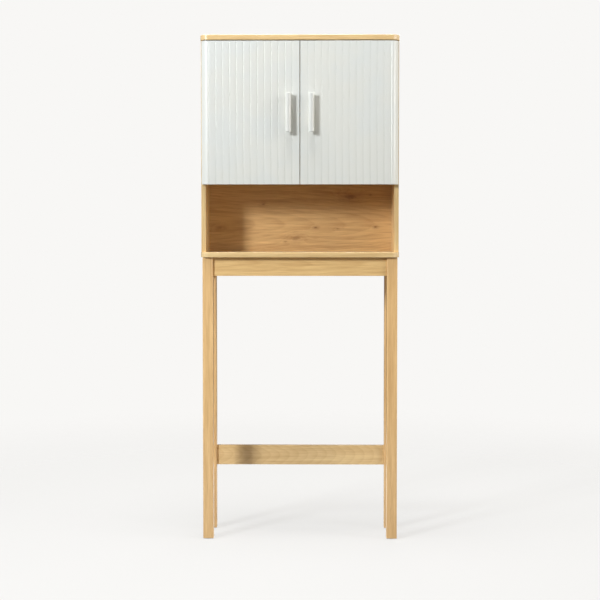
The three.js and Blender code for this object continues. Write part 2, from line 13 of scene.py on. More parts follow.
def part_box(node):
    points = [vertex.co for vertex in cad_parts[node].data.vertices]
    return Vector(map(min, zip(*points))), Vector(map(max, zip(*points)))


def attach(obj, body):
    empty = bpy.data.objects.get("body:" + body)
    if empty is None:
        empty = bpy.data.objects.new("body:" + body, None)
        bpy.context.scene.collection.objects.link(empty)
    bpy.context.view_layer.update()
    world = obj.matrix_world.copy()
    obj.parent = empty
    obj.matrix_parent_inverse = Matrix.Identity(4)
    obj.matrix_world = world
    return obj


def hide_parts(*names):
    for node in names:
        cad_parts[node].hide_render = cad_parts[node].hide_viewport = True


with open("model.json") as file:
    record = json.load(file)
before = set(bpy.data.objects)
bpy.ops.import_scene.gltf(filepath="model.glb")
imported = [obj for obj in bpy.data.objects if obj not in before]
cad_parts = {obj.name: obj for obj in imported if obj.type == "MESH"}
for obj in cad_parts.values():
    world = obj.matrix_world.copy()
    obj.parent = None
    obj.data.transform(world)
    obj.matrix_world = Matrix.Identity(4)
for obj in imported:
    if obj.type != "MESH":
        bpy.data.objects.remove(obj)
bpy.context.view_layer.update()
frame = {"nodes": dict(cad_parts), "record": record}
NODES = frame["nodes"]
SIDES = (("left", -1), ("right", 1))
ROWS = ("front", "rear")
LEVELS = ("lower", "upper")


# ---- Node trees --------------------------------------------------------------------------------------------
class Graph:
    """A material with a Principled shader, and short calls that add nodes to it."""

    def __init__(self, name, **shader_values):
        self.material = bpy.data.materials.new(name)
        self.material.use_nodes = True
        self.tree = self.material.node_tree
        self.tree.nodes.clear()
        self.shader = self.node("ShaderNodeBsdfPrincipled")
        output = self.node("ShaderNodeOutputMaterial")
        self.tree.links.new(self.shader.outputs[0], output.inputs["Surface"])
        for socket, value in shader_values.items():
            self.shader.inputs[socket.replace("_", " ")].default_value = value

    def node(self, kind, **settings):
        made = self.tree.nodes.new(kind)
        for key, value in settings.items():
            setattr(made, key, value)
        return made

    def put(self, socket, value):
        if isinstance(value, bpy.types.NodeSocket):
            self.tree.links.new(value, socket)
        else:
            socket.default_value = value

    def math(self, operation, a, b=0.0, clamp=False):
        made = self.node("ShaderNodeMath", operation=operation, use_clamp=clamp)
        self.put(made.inputs[0], a)
        self.put(made.inputs[1], b)
        return made.outputs[0]

    def rescale(self, value, low, high, to_low=0.0, to_high=1.0):
        made = self.node("ShaderNodeMapRange", interpolation_type="SMOOTHSTEP")
        for socket, number in zip(made.inputs, (value, low, high, to_low, to_high)):
            self.put(socket, number)
        return made.outputs[0]

    def place(self):
        return self.node("ShaderNodeTexCoord").outputs["Object"]

    def stretch(self, vector, scale, offset=(0, 0, 0)):
        made = self.node("ShaderNodeMapping")
        self.put(made.inputs["Vector"], vector)
        made.inputs["Scale"].default_value = scale
        made.inputs["Location"].default_value = offset
        return made.outputs[0]

    def noise(self, vector, scale=1.0, detail=2.0, roughness=0.5):
        made = self.node("ShaderNodeTexNoise")
        self.put(made.inputs["Vector"], vector)
        made.inputs["Scale"].default_value = scale
        made.inputs["Detail"].default_value = detail
        made.inputs["Roughness"].default_value = roughness
        return made.outputs["Fac"]

    def swing(self, noise, amount):
        """A noise value turned into an offset about zero."""
        return self.math("MULTIPLY", self.math("SUBTRACT", noise, 0.5), amount)

    def joined(self, *values):
        made = self.node("ShaderNodeCombineXYZ")
        for socket, value in zip(made.inputs, values):
            self.put(socket, value)
        return made.outputs[0]

    def length(self, vector):
        made = self.node("ShaderNodeVectorMath", operation="LENGTH")
        self.put(made.inputs[0], vector)
        return made.outputs["Value"]

    def mix(self, factor, a, b):
        made = self.node("ShaderNodeMix", data_type="RGBA")
        self.put(made.inputs["Factor"], factor)
        self.put(made.inputs["A"], made_colour(a))
        self.put(made.inputs["B"], made_colour(b))
        return made.outputs["Result"]

    def ramp(self, value, stops):
        made = self.node("ShaderNodeValToRGB")
        elements = made.color_ramp.elements
        while len(elements) < len(stops):
            elements.new(0.5)
        for element, (position, colour) in zip(elements, stops):
            element.position = position
            element.color = (*colour, 1)
        self.put(made.inputs[0], value)
        return made.outputs[0]

    def bump(self, height, distance, strength):
        made = self.node("ShaderNodeBump")
        made.inputs["Strength"].default_value = strength
        made.inputs["Distance"].default_value = distance
        self.put(made.inputs["Height"], height)
        return made.outputs[0]


def made_colour(value):
    """A plain RGB colour with its alpha added; a socket is left as it is."""
    if isinstance(value, tuple) and len(value) == 3:
        return (*value, 1)
    return value


# ---- Oak ---------------------------------------------------------------------------------------------------
AXES = {"x": 0, "y": 1, "z": 2}
GRAIN_DRIFT = 0.012  # how far the grain wanders across the face, in metres
RING_WANDER, RING_RIPPLE = 0.075, 0.009  # how far the rings stray from round, in metres
LATE_WOOD_CURVE = 2.4  # a ring darkens slowly and ends sharply
EARLY_WOOD_SHARE = 0.12
PORE_START, PORE_FULL = 0.56, 0.72
PORE_IN_LATE_WOOD = 0.35
BASE_TONE = 0.3
LATE_TONE, EARLY_TONE = 0.17, 0.11
FIBRE_TONE, FLECK_TONE, STREAK_TONE, BAND_TONE, PORE_TONE = 0.55, 0.675, 0.9, 0.6, 0.3
MIDDLE_TONE = 0.45  # where the colour is half way from light to dark
OAK_ROUGHNESS = (0.43, 0.62)
FIBRE_HEIGHT = 0.35  # against a pore's depth of 1
GRAIN_RELIEF, GRAIN_RELIEF_STRENGTH = 0.00012, 0.55
KNOT_COLOUR = (0.17, 0.055, 0.015)
WORN_COLOUR = (0.80, 0.60, 0.32)
EDGE_WEAR = 0.22


def oak(name, axes, seed, light, dark, pith=(0.02, 0.09), tilt=0.05, ring=0.0052,
        knots=(), worn=0.0):
    """Oak board. axes says which axes run along the grain, across the face and through it, such as "xzy".

    pith is where the rings' centre lies, across the face and behind it. tilt is how fast it sinks along the
    grain.
    """
    g = Graph(name, Coat_Weight=0.9, Coat_Roughness=0.2, Specular_IOR_Level=0.4)
    parts = g.node("ShaderNodeSeparateXYZ")
    g.put(parts.inputs[0], g.place())
    along, across, through = (parts.outputs[AXES[a]] for a in axes)
    place = g.joined(along, across, through)
    drift = g.noise(g.stretch(place, (5, 16, 16), (seed, seed, 0)), detail=2)
    across = g.math("ADD", across, g.swing(drift, GRAIN_DRIFT))
    wavy = g.joined(along, across, through)

    # Growth rings: distance from a pith line that runs along the grain, a little out of true.
    wander = g.noise(g.stretch(place, (1.7, 7, 7), (seed, 0, seed)), detail=3, roughness=0.55)
    ripple = g.noise(g.stretch(place, (9, 38, 38), (0, seed, 0)), detail=2)
    bend = g.math("ADD", g.swing(wander, RING_WANDER), g.swing(ripple, RING_RIPPLE))
    pull, shade = knot_fields(g, place, knots)
    flat = g.math("ADD", g.math("SUBTRACT", across, pith[0]), bend)
    deep = g.math("ADD", g.math("ADD", through, g.math("MULTIPLY", along, tilt)), pith[1])
    radius = g.math("SQRT", g.math("ADD", g.math("MULTIPLY", flat, flat), g.math("MULTIPLY", deep, deep)))
    radius = g.math("ADD", radius, pull)
    cycle = g.math("FRACT", g.math("DIVIDE", radius, ring))
    late = g.math("POWER", cycle, LATE_WOOD_CURVE)
    early = g.rescale(cycle, 0.0, EARLY_WOOD_SHARE, 1.0, 0.0)

    # Fibres, flecks, streaks and broad bands of tone, each a noise drawn out along the grain.
    fibre = g.noise(g.stretch(wavy, (9, 420, 420), (seed, seed, 0)), detail=3, roughness=0.65)
    fleck = g.noise(g.stretch(wavy, (13, 170, 170), (seed, 0, seed)), detail=3, roughness=0.6)
    streak = g.noise(g.stretch(wavy, (3.2, 75, 75), (0, seed, seed)), detail=4, roughness=0.65)
    band = g.noise(g.stretch(wavy, (1.3, 13, 13), (seed, seed, seed)), detail=3)
    pores = g.noise(g.stretch(place, (34, 900, 900), (seed, 0, 0)), detail=2, roughness=0.7)
    crowd = g.math("ADD", PORE_IN_LATE_WOOD, g.math("MULTIPLY", early, 1 - PORE_IN_LATE_WOOD))
    pore = g.math("MULTIPLY", g.rescale(pores, PORE_START, PORE_FULL), crowd)

    rings = g.math("MULTIPLY", late, LATE_TONE)
    tone = g.math("ADD", rings, g.math("MULTIPLY", early, EARLY_TONE))
    for noise, weight in ((fibre, FIBRE_TONE), (fleck, FLECK_TONE), (streak, STREAK_TONE), (band, BAND_TONE)):
        tone = g.math("ADD", tone, g.swing(noise, weight))
    tone = g.math("ADD", g.math("ADD", tone, BASE_TONE), g.math("MULTIPLY", pore, PORE_TONE), clamp=True)
    middle = tuple((a + b) / 2 for a, b in zip(light, dark))
    colour = g.ramp(tone, ((0.0, light), (MIDDLE_TONE, middle), (1.0, dark)))
    if knots:
        colour = g.mix(shade, colour, KNOT_COLOUR)
    if worn:
        colour = g.mix(worn, colour, WORN_COLOUR)
    g.put(g.shader.inputs["Base Color"], colour)
    g.put(g.shader.inputs["Roughness"], g.rescale(g.math("ADD", fibre, pore), 0.2, 1.2, *OAK_ROUGHNESS))
    height = g.math("SUBTRACT", g.math("MULTIPLY", fibre, FIBRE_HEIGHT), pore)
    g.put(g.shader.inputs["Normal"], g.bump(height, GRAIN_RELIEF, GRAIN_RELIEF_STRENGTH))
    return g.material


KNOT_RAGGEDNESS = 1.7  # this and the next three are in knot sizes
KNOT_PULL_REACH, KNOT_PULL = 3.4, 1.1
KNOT_CORE = (1.3, 0.1)
KNOT_HALO_REACH = 3.0
KNOT_HALO_DEPTH = 0.35
KNOT_SQUASH = 0.5  # a knot is twice as long along the grain as across it


def knot_fields(g, place, knots):
    """How far the knots pull the growth rings aside, and how dark they are.

    A knot is (along, across, size, depth).
    """
    pull, shade = 0.0, 0.0
    rough = g.noise(g.stretch(place, (60, 110, 0)), detail=3, roughness=0.6)
    for along, across, size, depth in knots:
        moved = g.stretch(place, (KNOT_SQUASH, 1, 0), (-along * KNOT_SQUASH, -across, 0))
        gap = g.math("ADD", g.length(moved), g.swing(rough, size * KNOT_RAGGEDNESS))
        near = g.rescale(gap, size * KNOT_PULL_REACH, 0.0)
        pull = g.math("ADD", pull, g.math("MULTIPLY", near, size * KNOT_PULL))
        core = g.math("MULTIPLY", g.rescale(gap, size * KNOT_CORE[0], size * KNOT_CORE[1]), depth)
        halo = g.math("MULTIPLY", g.rescale(gap, size * KNOT_HALO_REACH, 0.0), depth * KNOT_HALO_DEPTH)
        shade = g.math("MAXIMUM", shade, g.math("MAXIMUM", core, halo))
    return pull, shade


# ---- Other finishes ----------------------------------------------------------------------------------------
WARM_TINT, COOL_TINT = (1.012, 1.0, 0.975), (0.975, 0.985, 0.99)
DUST_FINENESS, DUST_HEIGHT = 3.1, 0.3  # against the orange peel's
TARNISH = 0.82  # brightness of dull steel against clean steel
LINE_RELIEF, MOULD_RELIEF = 0.00003, 0.00004


def paint(name, colour, roughness, grain, distance, coat=0.4):
    """Sprayed paint: a faint change of tone, and an orange-peel surface with cells 1/grain metres wide."""
    g = Graph(name, Coat_Weight=coat, Coat_Roughness=0.13, Specular_IOR_Level=0.5)
    place = g.place()
    clouds = g.noise(place, 7, 3)
    peel = g.noise(place, grain, 2, 0.55)
    dust = g.noise(place, grain * DUST_FINENESS, 2)
    warm = tuple(c * k for c, k in zip(colour, WARM_TINT))
    cool = tuple(c * k for c, k in zip(colour, COOL_TINT))
    dull = g.rescale(g.math("ADD", clouds, dust), 0.7, 1.3, roughness - 0.04, roughness + 0.05)
    height = g.math("ADD", peel, g.math("MULTIPLY", dust, DUST_HEIGHT))
    g.put(g.shader.inputs["Base Color"], g.mix(g.rescale(clouds, 0.35, 0.65), warm, cool))
    g.put(g.shader.inputs["Roughness"], dull)
    g.put(g.shader.inputs["Normal"], g.bump(height, distance, 0.5))
    return g.material


def metal(name, colour, roughness, brushed=(900, 900, 60)):
    """Plated steel with fine drawing lines and a little tarnish."""
    g = Graph(name, Metallic=1.0)
    place = g.place()
    lines = g.noise(g.stretch(place, brushed), 1, 3, 0.6)
    tarnish = g.noise(place, 45, 3)
    dull = tuple(c * TARNISH for c in colour)
    worn = g.rescale(g.math("ADD", lines, tarnish), 0.6, 1.4, roughness - 0.07, roughness + 0.1)
    g.put(g.shader.inputs["Base Color"], g.mix(g.rescale(tarnish, 0.42, 0.68, 0, 0.7), colour, dull))
    g.put(g.shader.inputs["Roughness"], worn)
    g.put(g.shader.inputs["Normal"], g.bump(lines, LINE_RELIEF, 0.5))
    return g.material


def moulded(name, colour, roughness, through=0.0):
    """Moulded plastic or rubber with a fine matt surface."""
    g = Graph(name, Subsurface_Weight=through, Subsurface_Scale=0.002)
    place = g.place()
    grain = g.noise(place, 1500, 2)
    patch = g.noise(place, 90, 2)
    low = tuple(c * 0.93 for c in colour)
    g.put(g.shader.inputs["Base Color"], g.mix(patch, low, colour))
    g.put(g.shader.inputs["Roughness"], g.rescale(grain, 0.3, 0.7, roughness - 0.05, roughness + 0.06))
    g.put(g.shader.inputs["Normal"], g.bump(grain, MOULD_RELIEF, 0.6))
    return g.material


# The lightest and darkest colour of each oak. The back panel's oak is a darker, redder copy of the board oak,
# partly painted shade from the compartment it stands in; the apron's and the stretcher's oaks are lighter
# copies of it, painted light.
BOARD_OAK = (0.893, 0.662, 0.333), (0.528, 0.307, 0.111)
BACK_OAK_PAINTED_SHADE = (0.765, 0.492, 0.215), (0.375, 0.178, 0.056)
APRON_OAK_PAINTED_LIGHT = (1.038, 0.721, 0.322), (0.642, 0.335, 0.107)
LEG_OAK = (0.969, 0.641, 0.299), (0.597, 0.315, 0.104)
STRETCHER_OAK_PAINTED_LIGHT = (0.999, 0.734, 0.369), (0.608, 0.347, 0.126)


def oaks(name, axes, seed, shades=BOARD_OAK, **options):
    """A board's oak, and the same oak rubbed a little lighter for its eased edges."""
    return (oak(name, axes, seed, *shades, **options),
            oak(name + "_edge", axes, seed, *shades, worn=EDGE_WEAR, **options))


DOOR_PAINT = paint("door_paint", (0.695, 0.70, 0.67), 0.42, 700, 0.00008)
DOOR_EDGE = paint("door_edge_paint", (0.715, 0.715, 0.685), 0.38, 700, 0.00006)
# The grooves' paint is a darker copy of the door paint, painted shade in the grooves; its stronger coat
# catches more of the gloss lamps.
GROOVE_PAINTED_SHADE = paint("door_groove_painted_shade", (0.655, 0.66, 0.625), 0.34, 700, 0.00005, coat=1.0)
HANDLE_PAINT = paint("handle_paint", (0.665, 0.665, 0.64), 0.3, 1100, 0.00005, coat=0.35)
STEEL = metal("plated_steel", (0.66, 0.665, 0.67), 0.3)
STEEL_DARK = metal("screw_steel", (0.5, 0.5, 0.51), 0.34, (700, 700, 700))
NYLON = moulded("nylon", (0.78, 0.75, 0.67), 0.5, 0.1)
RUBBER = moulded("bumper_rubber", (0.72, 0.72, 0.7), 0.55, 0.25)


# ---- Sizes, in metres --------------------------------------------------------------------------------------
BOARD_CORNER = 0.028  # radius of the boards' front corners and of the doors' outer edges
LEG_CORNER = 0.0035
DOOR_BACK_ROUND = 0.003
FIRST_GROOVE = 0.0245  # from a door's meeting edge
GROOVES = 13
GROOVE_PITCH = 0.023
GROOVE_HALF = 0.0025
GROOVE_DEPTH = 0.0008
BOARD_EASE, LEG_EASE, PANEL_EASE, BACK_EASE = 0.0012, 0.0015, 0.0008, 0.0004
DOOR_END_EASE, GROOVE_EASE, HANDLE_EASE, FITTING_EASE = 0.0008, 0.0006, 0.0014, 0.00015
CUP_PLAY = 0.0001  # between a cup and its bore
CUP_TAPER_START, CUP_TAPER = 0.0074, 0.0025  # where a cup starts to narrow, and by how much
CUP_BORE_OVER = 0.001  # how far the boring tool stands out of the door
HANDLE_THICK, HANDLE_CROWN = 0.010, 0.007
HANDLE_BACK_EASE = 0.0008
HANDLE_POST_OUT = 0.048  # from the handle's middle
POST_FOOT, POST_WAIST, POST_TOP, POST_END = 0.0064, 0.0055, 0.0053, 0.0060  # radii
PLATE_SCREW_IN, PLATE_SCREW_BACK = 0.009, 0.021  # from a hinge plate's ends and its front
PLATE_SCREW_R, PLATE_SCREW_HEIGHT = 0.0032, 0.0014


# ---- Meshes ------------------------------------------------------------------------------------------------
TINY = 1e-6
SHARP_ANGLE = 40  # degrees


def arc(centre, radius, start, end, steps):
    """Points on a circle from one angle to another, in degrees, both ends included."""
    angles = (math.radians(start + (end - start) * k / steps) for k in range(steps + 1))
    return [(centre[0] + radius * math.cos(a), centre[1] + radius * math.sin(a)) for a in angles]


def link(name, bm, materials):
    """Makes an object of a mesh, its faces turned outwards."""
    mesh = bpy.data.meshes.new(name)
    bmesh.ops.recalc_face_normals(bm, faces=bm.faces)
    if bm.calc_volume(signed=True) < 0:
        bmesh.ops.reverse_faces(bm, faces=bm.faces)
    bm.to_mesh(mesh)
    bm.free()
    mesh.shade_smooth()
    piece = bpy.data.objects.new(name, mesh)
    bpy.context.scene.collection.objects.link(piece)
    for material in materials:
        mesh.materials.append(material)
    return piece


def ease(bm, width, steps, chosen=None):
    """Rounds a solid's sharp edges, and gives the new faces the second material."""
    sharp = math.radians(SHARP_ANGLE)
    edges = chosen or [e for e in bm.edges if e.is_manifold and e.calc_face_angle(0) > sharp]
    bmesh.ops.bevel(bm, geom=edges, offset=width, segments=steps, profile=0.5, affect="EDGES",
                    clamp_overlap=True, material=1)


def level_edges(bm):
    """The edges of a raised solid's two flat ends."""
    return [e for e in bm.edges if abs(e.verts[0].co.z - e.verts[1].co.z) < TINY]


def round_off(piece, width, segments, angle):
    """A modifier that rounds edges sharper than an angle, in degrees."""
    bevel = piece.modifiers.new("eased_edges", "BEVEL")
    bevel.width = width
    bevel.segments = segments
    bevel.limit_method = "ANGLE"
    bevel.angle_limit = math.radians(angle)
    return bevel


def even_normals(piece):
    modifier = piece.modifiers.new("even_normals", "WEIGHTED_NORMAL")
    modifier.keep_sharp = True


def raised(outline, z0, z1):
    """A solid with this plan outline, between two heights."""
    bm = bmesh.new()
    face = bm.faces.new([bm.verts.new((x, y, z0)) for x, y in outline])
    made = bmesh.ops.extrude_face_region(bm, geom=[face])["geom"]
    top = [v for v in made if isinstance(v, bmesh.types.BMVert)]
    bmesh.ops.translate(bm, vec=(0, 0, z1 - z0), verts=top)
    bmesh.ops.recalc_face_normals(bm, faces=bm.faces)
    return bm


def turned(profile, steps=48):
    """A solid of revolution about Z. The profile's (radius, height) points start and end on the axis."""
    bm = bmesh.new()
    rings = []
    for radius, height in profile:
        if radius < TINY:
            rings.append([bm.verts.new((0, 0, height))])
            continue
        turns = (2 * math.pi * k / steps for k in range(steps))
        rings.append([bm.verts.new((radius * math.cos(a), radius * math.sin(a), height)) for a in turns])
    for low, high in zip(rings, rings[1:]):
        for k in range(steps):
            after = k + 1
            corners = [low[k % len(low)], low[after % len(low)], high[after % len(high)], high[k % len(high)]]
            unique = list(dict.fromkeys(corners))
            if len(unique) > 2:
                bm.faces.new(unique)
    bmesh.ops.recalc_face_normals(bm, faces=bm.faces)
    return bm


def stand(bm, centre, towards):
    """Turns a shape made about Z so that Z points towards a direction, and moves its origin to centre."""
    turn = Vector((0, 0, 1)).rotation_difference(Vector(towards)).to_matrix().to_4x4()
    bmesh.ops.transform(bm, matrix=Matrix.Translation(centre) @ turn, verts=bm.verts)
    return bm


def finished(piece, body, slot, *nodes):
    """Puts a piece on its body, and hides the CAD nodes that it shows instead of. slot is not used."""
    even_normals(piece)
    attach(piece, body)
    if nodes:
        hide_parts(*nodes)


WELD_GAP = 1e-5
DRESSED_ANGLE = 50  # degrees


def dress(node, materials, width=PANEL_EASE):
    """Keeps a CAD node's shape, eases its edges and gives it a finish."""
    piece = NODES[node]
    piece.data.materials.clear()
    for material in materials:
        piece.data.materials.append(material)
    for polygon in piece.data.polygons:
        polygon.material_index = 0
    piece.data.shade_smooth()
    weld = piece.modifiers.new("weld", "WELD")
    weld.merge_threshold = WELD_GAP
    round_off(piece, width, 2, DRESSED_ANGLE).material = len(materials) - 1
    even_normals(piece)


# ---- Carcass -----------------------------------------------------------------------------------------------
def corner_board(node, materials):
    """The top or lower board: rounded front corners, square back corners and eased edges."""
    low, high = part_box(node)
    r = BOARD_CORNER
    outline = [(high.x, high.y), (low.x, high.y)]
    outline += arc((low.x + r, low.y + r), r, 180, 270, 18) + arc((high.x - r, low.y + r), r, 270, 360, 18)
    bm = raised(outline, low.z, high.z)
    ease(bm, BOARD_EASE, 4)
    finished(link(node + "_oak", bm, materials), "rack", "oak_board", node)


def leg(node, materials):
    """A square leg with rounded corners."""
    low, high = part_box(node)
    r = LEG_CORNER
    outline = []
    for cx, cy, start in ((high.x - r, high.y - r, 0), (low.x + r, high.y - r, 90),
                          (low.x + r, low.y + r, 180), (high.x - r, low.y + r, 270)):
        outline += arc((cx, cy), r, start, start + 90, 8)
    bm = raised(outline, low.z, high.z)
    ease(bm, LEG_EASE, 4)
    finished(link(node + "_oak", bm, materials), "rack", "oak_leg", node)


def carcass():
    """The oak boards, rails and legs. pith and tilt decide whether the grain is arched or straight."""
    corner_board("top_board", oaks("oak_top", "xyz", 3.1, tilt=0.02))
    corner_board("lower_board", oaks("oak_lower", "xyz", 7.7, tilt=0.02))
    dress("cabinet_floor", oaks("oak_floor", "xyz", 11.3))
    dress("inner_shelf", oaks("oak_shelf", "xyz", 15.9))
    # The back panel's darker oak is partly painted shade; the apron's and stretcher's lighter oaks are
    # painted light.
    back = oaks("oak_back", "xzy", 5.2, BACK_OAK_PAINTED_SHADE, knots=back_knots(), pith=(1.06, 0.05))
    dress("back_panel", back, BACK_EASE)
    dress("front_apron", oaks("oak_apron", "xzy", 19.4, APRON_OAK_PAINTED_LIGHT, pith=(0.93, 0.12), tilt=0.03))
    dress("rear_apron", oaks("oak_rear_apron", "xzy", 23.8, pith=(0.9, 0.12)))
    stretcher = oaks("oak_stretcher", "xzy", 27.5, STRETCHER_OAK_PAINTED_LIGHT, pith=(0.25, 0.02), tilt=0.16)
    dress("rear_stretcher", stretcher)
    for k, (side, _) in enumerate(SIDES):
        panel = oaks(f"oak_{side}_side", "zyx", 31.2 + 4 * k, pith=(0.0, 0.12), tilt=0.02)
        dress(f"{side}_side_panel", panel)
        dress(f"{side}_side_rail", oaks(f"oak_{side}_side_rail", "yzx", 41.7 + k))
        for n, row in enumerate(ROWS):
            leg(f"{row}_{side}_leg", oaks(f"oak_{row}_{side}_leg", "zxy", 51.3 + 3 * k + 7 * n, LEG_OAK,
                                          pith=(0.0, 0.2), tilt=0.012, ring=0.0038))


def back_knots():
    """Knots on the back panel, as (along, across, size, depth). Fractions are of the open compartment."""
    left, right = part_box("left_side_panel")[1].x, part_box("right_side_panel")[0].x
    bottom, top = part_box("lower_board")[1].z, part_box("left_door")[0].z
    spots = ((0.476, 0.20, 0.010, 0.5), (0.418, 0.147, 0.003, 0.5), (0.585, 0.36, 0.0036, 0.75),
             (0.704, 0.343, 0.003, 0.6), (0.912, 0.368, 0.0034, 0.75), (0.775, 0.83, 0.012, 0.6),
             (0.885, 0.86, 0.004, 0.6), (0.297, 0.717, 0.004, 0.5), (0.056, 0.354, 0.006, 0.5))
    wide, tall = right - left, top - bottom
    return [(left + u * wide, bottom + v * tall, size, depth) for u, v, size, depth in spots]


# ---- Doors -------------------------------------------------------------------------------------------------
def cup_bore(node):
    """The space that a hinge cup takes in its door."""
    low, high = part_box(node)
    door_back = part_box(node.split("_")[0] + "_door")[1].y
    radius = (high.x - low.x) / 2 + CUP_PLAY
    bottom = low.y - CUP_PLAY
    depth = door_back - bottom
    mouth = depth + CUP_BORE_OVER
    profile = [(0, 0), (radius - CUP_TAPER, 0), (radius, depth - CUP_TAPER_START), (radius, mouth),
               (0, mouth)]
    return stand(turned(profile), ((low.x + high.x) / 2, bottom, (low.z + high.z) / 2), (0, 1, 0))


GROOVE_ANGLE = 30  # degrees. A groove turns more than this at its bottom, and less at its rims.
GROOVE_SLOPES = (-0.99, -0.9)  # how far the grooves' faces look forwards


def bored(piece, cutters):
    """The piece with the cutters' shapes taken out of it."""
    for k, cutter in enumerate(cutters):
        tool = link(f"{piece.name}_tool_{k}", cutter, ())
        cut = piece.modifiers.new("bore", "BOOLEAN")
        cut.operation = "DIFFERENCE"
        cut.solver = "EXACT"
        cut.object = tool
        bpy.context.view_layer.update()
        mesh = bpy.data.meshes.new_from_object(piece.evaluated_get(bpy.context.evaluated_depsgraph_get()))
        piece.modifiers.clear()
        piece.data = mesh
        bpy.data.objects.remove(tool)
    piece.data.set_sharp_from_angle(angle=math.radians(GROOVE_ANGLE))
    return piece


def door_outline(low, high):
    """Plan of the right door, and how far out its last groove reaches."""
    inner = min(abs(low.x), abs(high.x))
    board_low, board_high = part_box("top_board")
    front, back, r, eased = low.y, high.y, BOARD_CORNER, DOOR_BACK_ROUND
    centre = (board_high.x - r, board_low.y + r)
    rise = back - eased - centre[1]
    eased_centre = (centre[0] + math.sqrt((r - eased) ** 2 - rise ** 2), back - eased)
    turn = math.degrees(math.atan2(rise, eased_centre[0] - centre[0]))
    outline = [(inner, back), (inner, front)]
    for k in range(GROOVES):
        x = inner + FIRST_GROOVE + k * GROOVE_PITCH
        outline += [(x - GROOVE_HALF, front), (x, front + GROOVE_DEPTH), (x + GROOVE_HALF, front)]
    last = inner + FIRST_GROOVE + (GROOVES - 1) * GROOVE_PITCH + GROOVE_HALF
    outline += [p for p in arc(centre, r, -90, turn, 32) if p[0] > last]
    outline += arc(eased_centre, eased, turn, 90, 6)
    return outline, last


def door(side, sign):
    """A door with a rounded outer edge and thirteen V-grooves, its ends and the grooves' bottoms eased."""
    low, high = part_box(f"{side}_door")
    outline, last = door_outline(low, high)
    bm = raised([(sign * x, y) for x, y in outline], low.z, high.z)
    ease(bm, DOOR_END_EASE, 3, chosen=level_edges(bm))
    paints = (DOOR_PAINT, DOOR_EDGE, GROOVE_PAINTED_SHADE)
    bores = [cup_bore(f"{side}_{level}_hinge_cup") for level in LEVELS]
    piece = bored(link(f"{side}_door_panel", bm, paints), bores)
    # The grooves' faces get the darker groove paint: painted shade.
    for polygon in piece.data.polygons:
        if abs(polygon.center.x) < last and GROOVE_SLOPES[0] < polygon.normal.y < GROOVE_SLOPES[1]:
            polygon.material_index = paints.index(GROOVE_PAINTED_SHADE)
    round_off(piece, GROOVE_EASE, 3, GROOVE_ANGLE)
    finished(piece, f"{side}_door", "door_paint", f"{side}_door")


def handle(side):
    """A bridge pull: a crowned grip with rounded ends on two turned posts."""
    low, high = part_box(f"{side}_handle")
    x, bar_back, crown = (low.x + high.x) / 2, low.y + HANDLE_THICK, low.y + HANDLE_CROWN
    half, eased = (high.x - low.x) / 2, HANDLE_BACK_EASE
    outline = [(x + half, bar_back - eased), (x + half - eased, bar_back), (x - half + eased, bar_back),
               (x - half, bar_back - eased)]
    outline += [(x + half * curved(math.cos(a), 0.8), crown + HANDLE_CROWN * curved(math.sin(a), 0.9))
                for a in (math.pi + math.pi * k / 40 for k in range(41))]
    bm = raised(outline, low.z, high.z)
    ease(bm, HANDLE_EASE, 4, chosen=level_edges(bm))
    body = f"{side}_door"
    grip = link(f"{side}_handle_grip", bm, (HANDLE_PAINT, HANDLE_PAINT))
    finished(grip, body, "handle_paint", f"{side}_handle")
    reach = high.y - bar_back
    end = reach + 0.0002
    profile = [(0, 0), (POST_FOOT, 0), (POST_FOOT, 0.0008), (POST_WAIST, 0.0018), (POST_TOP, reach - 0.002),
               (POST_END, end), (0, end)]
    middle = (low.z + high.z) / 2
    for level, z in zip(LEVELS, (middle - HANDLE_POST_OUT, middle + HANDLE_POST_OUT)):
        post = stand(turned(profile), (x, high.y, z), (0, -1, 0))
        finished(link(f"{side}_handle_{level}_post", post, (HANDLE_PAINT,)), body, "handle_paint")


def curved(value, power):
    """A power of a value's size, with the value's sign, which makes a squarer or rounder ellipse."""
    return math.copysign(abs(value) ** power, value)


# ---- Fittings ----------------------------------------------------------------------------------------------
DOME_ANGLES = (15, 35, 55, 75)
RECESS_R, RECESS_RIM, RECESS_DEPTH = 0.3, 0.9, 0.45  # of the head's radius and height
SLOT_LENGTH, SLOT_WIDTH, SLOT_HEIGHT, SLOT_AT = 1.0, 0.2, 0.06, 0.93


def screw_head(name, body, centre, towards, radius, height):
    """A domed cross-head screw that sits on a surface at centre and faces towards a direction."""
    profile = [(0, 0), (radius, 0)]
    profile += [(radius * math.cos(math.radians(a)), height * math.sin(math.radians(a))) for a in DOME_ANGLES]
    bm = turned(profile + [(0, height)], 32)
    ring = [v for v in bm.verts if v.co.xy.length < radius * RECESS_R and v.co.z > height * RECESS_RIM]
    bmesh.ops.translate(bm, vec=(0, 0, -height * RECESS_DEPTH), verts=ring)
    for turn in (0, 90):
        slot = bmesh.ops.create_cube(bm, size=1)["verts"]
        bmesh.ops.scale(bm, vec=(radius * SLOT_LENGTH, radius * SLOT_WIDTH, height * SLOT_HEIGHT), verts=slot)
        bmesh.ops.translate(bm, vec=(0, 0, height * SLOT_AT), verts=slot)
        bmesh.ops.rotate(bm, matrix=Matrix.Rotation(math.radians(turn), 3, "Z"), verts=slot)
    finished(link(name, stand(bm, centre, towards), (STEEL_DARK,)), body, "steel")


